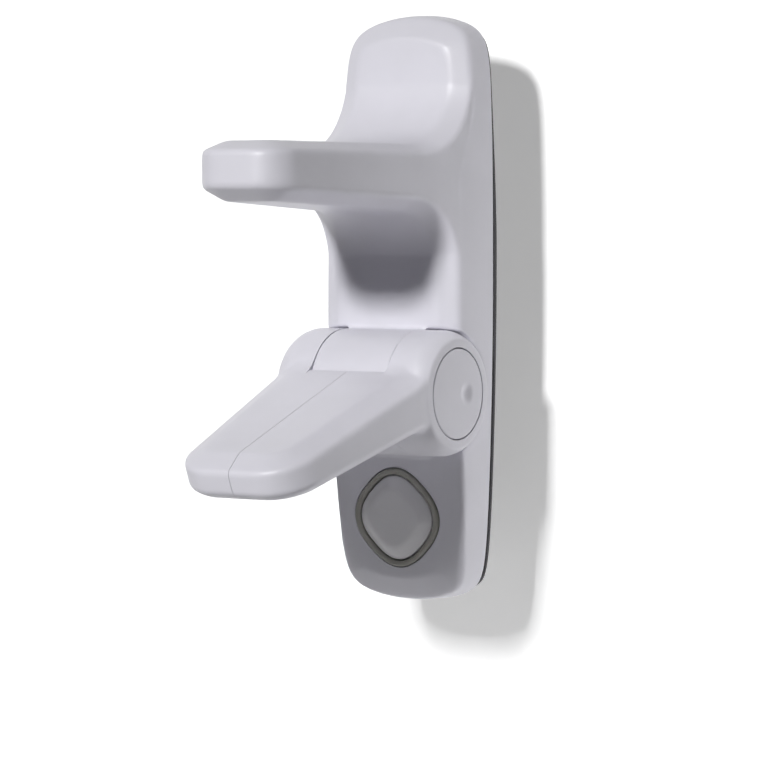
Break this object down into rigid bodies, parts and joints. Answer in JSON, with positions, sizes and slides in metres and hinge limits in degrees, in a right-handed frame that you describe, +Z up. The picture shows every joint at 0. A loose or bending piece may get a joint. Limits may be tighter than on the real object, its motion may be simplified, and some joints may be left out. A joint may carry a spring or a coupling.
{
  "type": "door lever lock",
  "caption": "Child-safety lock for a door lever: a tall stick-on body with a fixed upper arm, a hinged lower arm and a diamond push button that frees its latch.",
  "frame": {"origin": "on the door face, behind the middle of the body's height", "axes": "+Z up the body, +X to the right as seen from the room, +Y into the door"},
  "size_m": [0.0434, 0.0803, 0.14],
  "materials": {
    "housing_white": "semi-gloss moulded",
    "arm_white": "semi-gloss moulded",
    "plate_grey": "matt moulded",
    "foam": "foam tape",
    "zinc_steel": "zinc plated",
    "spring_steel": "rolled",
    "warm_grey": "satin moulded",
    "acetal": "satin moulded",
    "button_grey": "satin moulded"
  },
  "bodies": {
    "base": {"front_housing": "housing_white", "back_plate": "plate_grey", "adhesive_pad": "foam", "plate_screw_1": "zinc_steel", "plate_screw_2": "zinc_steel", "plate_screw_3": "zinc_steel", "plate_screw_4": "zinc_steel", "button_bezel": "warm_grey", "latch_spring": "spring_steel", "latch_screw": "zinc_steel"},
    "arm": {"arm_left_half": "arm_white", "arm_right_half": "arm_white", "pivot_cap_left": "arm_white", "pivot_cap_right": "arm_white", "pivot_bolt": "zinc_steel", "pivot_nut": "zinc_steel", "lock_drum": "acetal", "arm_screw_1": "zinc_steel", "arm_screw_2": "zinc_steel"},
    "button": {"button": "button_grey"}
  },
  "joints": [
    {"name": "arm_hinge", "type": "hinge", "parent": "base", "child": "arm", "pos_m": [0, -0.0196, -0.0194], "axis": [1, 0, 0], "range_deg": [0, 62], "deforming": ["latch_spring"]},
    {"name": "button_push", "type": "slide", "parent": "base", "child": "button", "axis": [0, 0.9948, 0.1019], "range_m": [0, 0.0025], "stiffness_N_per_m": 800, "deforming": ["latch_spring"]}
  ]
}
